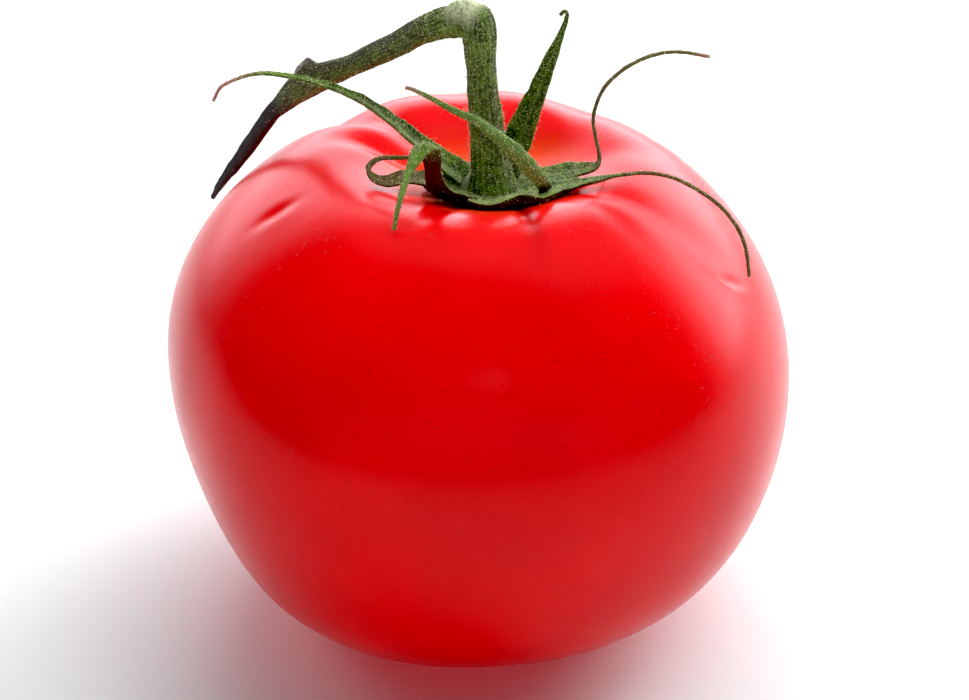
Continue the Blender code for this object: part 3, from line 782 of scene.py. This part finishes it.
# The stalk
stalk = {
    # middle lines as x, y, z and radius
    "pedicel": ((2.85, 0.5, 52.2, 3.3), (2.8, 0.5, 53.2, 2.75), (2.7, 0.5, 54.2, 2.4),
                (2.5, 0.5, 56.0, 2.1), (2.2, 0.6, 60.3, 1.9), (1.8, 0.8, 64.5, 1.72),
                (1.6, 1.0, 68.1, 1.68), (1.4, 1.3, 71.4, 1.92), (1.3, 1.4, 73.0, 1.75),
                (1.15, 1.5, 74.0, 1.2), (1.1, 1.5, 74.4, 0.6)),
    "arm": ((0.6, 1.6, 72.1, 1.3), (-1.2, 2.3, 72.1, 1.8), (-2.7, 2.8, 71.7, 1.73),
            (-5.1, 3.7, 70.4, 1.51), (-8.0, 5.0, 68.1, 1.42), (-10.8, 6.0, 66.3, 1.33),
            (-13.2, 7.1, 64.6, 1.22), (-15.5, 8.0, 63.3, 1.45), (-17.6, 8.9, 62.0, 1.7),
            (-19.5, 9.8, 60.4, 1.55), (-21.3, 10.6, 58.2, 1.12), (-22.9, 11.5, 56.2, 0.97),
            (-25.75, 13.6, 51.2, 0.88), (-27.75, 15.1, 47.8, 0.73), (-28.85, 15.9, 46.0, 0.6),
            (-29.85, 16.8, 44.2, 0.43), (-30.6, 17.6, 42.5, 0.3)),
    "stub": ((-16.8, 8.7, 61.8, 1.6), (-17.8, 8.9, 62.8, 1.5), (-18.9, 9.0, 63.8, 1.25)),
    "knucklePlace": (-0.3, 1.9, 72.8),
    "knuckleRadii": (2.1, 1.8, 2.1),
    "sides": 36,
    "step": 0.35,
    "grid": 0.14,
    "rounds": 4,
    "ridges": 7,
    "ridgeHeights": {"pedicel": 0.025, "arm": 0.035, "stub": 0.03},    # as shares of the radius
    "hairs": 2600,
    "glands": 2200,
}


# Directions along a tube and two across it: the first leans on +Y.
def tubeFrame(line):
    stations = stationsOn(line, stalk["step"])
    ahead = unit(np.gradient(stations[:, :3], axis=0))
    side = squareTo(np.array((0.0, 1.0, 0.0)), ahead)
    return stations, ahead, side, np.cross(ahead, side)


# A round tube along a line whose rows end in the radius. Its shallow ridges drift slowly round it.
def tubeMesh(line, ridge):
    stations, ahead, side, other = tubeFrame(line)
    angle = np.arange(stalk["sides"]) * (2 * math.pi / stalk["sides"])
    drift = np.linspace(0, 1.2, len(stations))[:, None]
    radius = stations[:, 3:] * (1 + ridge * np.sin(stalk["ridges"] * angle + drift))
    rings = stations[:, None, :3] + radius[..., None] * (
        side[:, None] * np.cos(angle)[None, :, None] + other[:, None] * np.sin(angle)[None, :, None])
    return ringMesh(rings, stations[0, :3], stations[-1, :3])


# An upright oval: rings by the polar angle, scaled by the three radii.
def ovalMesh(place, radii):
    polar = np.linspace(math.pi, 0, 26)[1:-1, None]
    angle = np.arange(40)[None] * (2 * math.pi / 40)
    out = np.sin(polar)
    shape = np.stack(np.broadcast_arrays(out * np.cos(angle), out * np.sin(angle), np.cos(polar)), -1)
    ends = np.array(((0, 0, -1.0), (0, 0, 1.0)))
    return ringMesh(np.array(place) + shape * radii, *(np.array(place) + ends * radii))


# What the stalk's material needs at each vertex: the angle round the nearest part, and the strength of the
# pale joint, the purple of the arm and stub, which on the arm is stronger on its upper side as a painted
# sheen, the dark spike and the stub's cut end.
def stalkValues(places, normals):
    def part(name):
        stations, ahead, side, other = tubeFrame(stalk[name])

        def read(index, off):
            along = index / (len(stations) - 1)
            found = {"turn": np.arctan2((off * other[index]).sum(1), (off * side[index]).sum(1))}
            if name == "arm":
                found["dark"] = smoothStep(0.50, 0.62, along)
                # painted sheen: on the arm the purple grows where the surface faces up
                top = smoothStep(0.1, 0.9, normals[:, 2])
                found["purpleAndSheen"] = (0.4 + 0.6 * top) * smoothStep(0.05, 0.15, along)
            if name == "stub":
                found["purpleAndSheen"] = smoothStep(0.2, 0.8, along)
                found["cut"] = smoothStep(0.93, 1.0, along)
            return found
        return stations[:, :3], stations[:, 3], read
    names = ("turn", "pale", "purpleAndSheen", "dark", "cut")
    values = nearestValues(places, names, map(part, stalk["ridgeHeights"]))
    knuckle = np.linalg.norm(places - np.array(stalk["knucklePlace"]) - (0.2, 0, 0.4), axis=1)
    values["pale"] = smoothStep(2.9, 1.5, knuckle) * smoothStep(-0.3, 0.6, normals[:, 2])
    return values


# The stalk grows together from the pedicel, the arm, the stub and the swollen joint.
def makeStalk(material):
    parts = [tubeMesh(stalk[name], ridge) for name, ridge in stalk["ridgeHeights"].items()]
    parts.append(ovalMesh(stalk["knucklePlace"], stalk["knuckleRadii"]))
    places, quads, normals = grownTogether(parts, stalk["grid"], stalk["rounds"])
    values = stalkValues(places, normals)
    fine = np.sin(values["turn"] * 23 + slowWaves(places, 5, 4) * 2) * 0.018
    height = (fine * (1 - values["pale"]) + 0.03 * slowWaves(places, 1.3, 5)
              + 0.05 * slowWaves(places, 3.1, 6))
    places = places + normals * height[:, None]
    places[:, 2] = np.minimum(places[:, 2], cadHigh[2] / mm - 0.05)
    addPiece("stalk_with_joint", places, quads.tolist(), material, "stalk", "stem", values)
    growth = (1 - 0.93 * values["dark"]) * (1 - 0.7 * values["purpleAndSheen"]) * (1 - 0.6 * values["pale"])
    return places, quads, growth


# Hairy green stalk: fine stripes along it, pale specks, a pale joint, purple on the arm and stub, which on
# the arm's upper side is partly a painted sheen, and a dark purple spike.
def stalkMaterial():
    material, tree = newMaterial("hairy_green_stalk")
    greens = ((0.026, 0.052, 0.010), (0.115, 0.205, 0.028), (0.010, 0.020, 0.006))
    stripeAngle = tree.attribute("turn") * 19.0 + tree.clouds(3) * 9.0
    stripes = tree.node("Math", {"operation": "SINE"}, {0: stripeAngle})
    specks = tree.spots(0.28, 0.062) * tree.ease(tree.clouds(0.9), 0.38, 0.58)
    specks = specks * (1 - 0.85 * tree.attribute("dark")) * (1 - 0.5 * tree.attribute("purpleAndSheen"))
    green = tree.layers(
        patchyGreen(tree, greens, 1.3, 0.33, 0.32),
        ((0.23, 0.29, 0.10), tree.ease(stripes, 0.2, 1.0) * 0.35),
        ((0.062, 0.040, 0.044), tree.attribute("purpleAndSheen") * (0.5 + 0.5 * tree.clouds(0.9))),
        ((0.026, 0.020, 0.026), tree.attribute("dark") * 0.93),
        ((0.52, 0.57, 0.36), tree.attribute("pale") * tree.ease(tree.clouds(0.35, 2), 0.2, 0.6)),
        ((0.16, 0.10, 0.05), tree.attribute("cut")),
        ((0.66, 0.66, 0.30), specks * 0.75))
    grain = tree.clouds(0.18, 2) * 0.06 + specks * 0.03
    finishGreen(tree, green, 0.5, 0.05, 0.0008, grain)
    return material


# Hairs and glands
hair = {
    "length": (0.25, 0.85),
    "thickness": 0.030,
    "lean": 0.55,
    "droop": 0.25,
    "glandSize": (0.045, 0.085),
    "glandHeight": (0.05, 0.22),
    # two colours, the size over which they drift, roughness and alpha
    "hairLook": ((0.70, 0.72, 0.52), (0.88, 0.86, 0.74), 1.5, 0.4, 0.75),
    "glandLook": ((0.45, 0.50, 0.14), (0.80, 0.78, 0.45), 0.8, 0.25, 1.0),
}


# Seeded places on a surface of quads, as likely on each face as its area times its growth, with
# the face's normal.
def scattered(places, quads, growth, count, seed):
    draws = np.random.default_rng(seed)
    corners = places[quads]
    cross = np.cross(corners[:, 2] - corners[:, 0], corners[:, 3] - corners[:, 1])
    area = np.linalg.norm(cross, axis=1) * growth[quads].mean(1)
    chosen = draws.choice(len(quads), count, p=area / area.sum())
    shares = draws.dirichlet((1, 1, 1, 1), count)
    return (corners[chosen] * shares[..., None]).sum(1), unit(cross[chosen]), draws


# Each hair is a bent three-sided cone of two lengths: root ring, middle ring and tip. It leans off
# the normal by a random vector and droops a little.
def hairMesh(roots, normals, draws):
    count = len(roots)
    low, high = hair["length"]
    length = (low + (high - low) * draws.random(count) ** 2)[:, None]
    way = unit(normals + hair["lean"] * draws.normal(size=(count, 3)))
    side = squareTo(draws.normal(size=(count, 3)), way)
    other = np.cross(way, side)
    bend = hair["lean"] * 0.5 * draws.normal(size=(count, 3)) - (0, 0, hair["droop"])
    middle = roots + way * length * 0.55
    tip = roots + (way + bend * 0.5) * length
    tip[:, 2] = np.minimum(tip[:, 2], cadHigh[2] / mm - 0.02)
    angle = np.arange(3)[:, None, None] * (2 * math.pi / 3)
    ring = (side * np.cos(angle) + other * np.sin(angle)) * (hair["thickness"] / 2)
    start = roots - way * 0.05
    rings = np.stack((*(start + ring), *(middle + ring * 0.7), tip), 1)
    one = np.array(((0, 1, 4), (0, 4, 3), (1, 2, 5), (1, 5, 4), (2, 0, 3), (2, 3, 5), (3, 4, 6), (4, 5, 6),
                    (5, 3, 6), (0, 2, 1)))
    faces = (np.arange(count)[:, None, None] * 7 + one).reshape(-1, 3)
    return rings.reshape(-1, 3), faces.tolist()


# Each gland is a small eight-faced drop that stands just off the surface.
def glandMesh(roots, normals, draws):
    count = len(roots)
    low, high = hair["glandSize"]
    size = (low + (high - low) * draws.random(count) ** 1.5)[:, None, None]
    near, far = hair["glandHeight"]
    middle = roots + normals * (near + (far - near) * draws.random(count) ** 2)[:, None]
    corners = np.array(((1, 0, 0), (-1, 0, 0), (0, 1, 0), (0, -1, 0), (0, 0, 1), (0, 0, -1)), float)
    places = middle[:, None] + corners * size
    one = np.array(((0, 2, 4), (2, 1, 4), (1, 3, 4), (3, 0, 4), (2, 0, 5), (1, 2, 5), (3, 1, 5), (0, 3, 5)))
    faces = (np.arange(count)[:, None, None] * 6 + one).reshape(-1, 3)
    places = places.reshape(-1, 3)
    places[:, 2] = np.minimum(places[:, 2], cadHigh[2] / mm - 0.01)
    return places, faces.tolist()


# Hairs or glands: one colour drifts into the other over a size in millimetres.
def driftMaterial(name, first, second, size, roughness, alpha):
    material, tree = newMaterial(name)
    colour = tree.over(first, second, tree.clouds(size))
    shine = roughness + tree.clouds(1.0) * 0.2
    tree.finish({"Base Color": colour, "Roughness": shine, "Alpha": alpha})
    return material


# Camera, light and floor
def makeCamera():
    data = bpy.data.cameras.new("camera")
    data.sensor_fit = "HORIZONTAL"
    data.sensor_width = cameraView["sensorWidth"]
    data.lens = cameraView["focalPixels"] / cameraView["pictureWidth"] * cameraView["sensorWidth"]
    data.clip_start = 0.01
    data.clip_end = 10
    camera = addObject("camera", data)
    rise = math.radians(cameraView["elevation"])
    back = Vector((0, -math.cos(rise), math.sin(rise)))
    camera.location = (Vector(cameraView["target"]) + back * cameraView["distance"]) * mm
    camera.rotation_euler = (math.pi / 2 - rise, 0, 0)
    bpy.context.scene.camera = camera


# The surround is bright behind the fruit and beside it, and dim behind the camera.
def makeWorld():
    world = bpy.data.worlds.new("studio")
    world.use_nodes = True
    bpy.context.scene.world = world
    tree = ShaderTree(world.node_tree)
    way = tree.node("TexCoord", {}, {}, "Generated")
    facing = tree.towards(way, (studio["brightLean"], 1.0, 0.0))
    bright = tree.ease(facing, studio["brightFrom"], studio["brightTo"])
    rise = tree.towards(way, (0.0, 0.0, 1.0))
    bright = bright * tree.ease(rise, studio["ceilingTo"], studio["ceilingFrom"])
    aside = tree.towards(way, (1.0, 0.0, 0.0))
    high = studio["surroundBright"] * (1 + aside * studio["rightLift"])
    strength = studio["surroundDim"] + (high - studio["surroundDim"]) * bright
    tree.finish({"Color": (*studio["surroundColour"], 1.0), "Strength": strength},
                "Background", "OutputWorld")


# adds a lamp at a place in millimetres, turned to its aim
def addLamp(name, place, aim, shape, width, power):
    data = bpy.data.lights.new(name, "AREA")
    data.shape = shape
    data.size = width * mm
    data.energy = power
    light = addObject(name, data)
    light.location = Vector(place) * mm
    way = Vector(aim) * mm - light.location
    light.rotation_euler = way.to_track_quat("-Z", "Y").to_euler()
    return light


def makeLamps():
    for name, (place, width, height, power, spread, lit) in studio["lamps"].items():
        light = addLamp(name, place, studio["aim"][lit], "RECTANGLE", width, power)
        light.data.size_y = height * mm
        light.data.spread = math.radians(spread)
        light.visible_glossy = False
        if lit != "all":
            light.light_linking.receiver_collection = dressed if lit == "tomato" else stage
    for place, power in studio["glints"]:
        light = addLamp("glint", place, studio["aim"]["all"], "DISK", studio["glintSize"], power)
        light.visible_diffuse = False
        light.light_linking.receiver_collection = dressed


# The floor's own material glows a little red round the fruit's foot: painted light that stands in for red
# light coming through and off the flesh.
def makeFloor():
    half = studio["floorSize"] * mm / 2
    mesh = bpy.data.meshes.new("floor")
    corners = [(-half, -half, 0), (half, -half, 0), (half, half, 0), (-half, half, 0)]
    mesh.from_pydata(corners, [], [(0, 1, 2, 3)])
    floor = addObject("floor", mesh)
    stage.objects.link(floor)
    material, tree = newMaterial("pale_floor")
    colour = studio["floorColour"]
    shade = tuple(value * 0.985 for value in colour)
    place, reach, strength, red = studio["paintedRedGlow"]
    paintedGlow = tree.ease(tree.distance(place), reach, 4.0)
    tree.finish({
        "Base Color": tree.over(colour, shade, tree.clouds(3, 3)),
        "Roughness": 0.6,
        "Specular IOR Level": 0.2,
        # painted light: red emission on the floor round the fruit's foot
        "Emission Color": tree.over((0.0, 0.0, 0.0), red, paintedGlow),
        "Emission Strength": strength,
    })
    mesh.materials.append(material)


makeCamera()
makeWorld()
makeLamps()
makeFloor()
makeFruit(skinMaterial())
surfaces = {"sepal": (makeCalyx(sepalMaterial()), calyx, 21),
            "stalk": (makeStalk(stalkMaterial()), stalk, 22)}
paleHair = driftMaterial("pale_hair", *hair["hairLook"])
yellowGland = driftMaterial("yellow_gland", *hair["glandLook"])
for slot, (surface, look, seed) in surfaces.items():
    hairs = hairMesh(*scattered(*surface, look["hairs"], seed))
    addPiece(slot + "_hairs", *hairs, paleHair, slot)
    glands = glandMesh(*scattered(*surface, look["glands"], seed + 10))
    addPiece(slot + "_glands", *glands, yellowGland, slot)

view = bpy.context.scene.view_settings
view.view_transform = "Standard"
view.look = "None"
view.exposure = studio["exposure"]
view.use_curve_mapping = True
view.curve_mapping.black_level = (studio["blackLevel"],) * 3
view.curve_mapping.update()
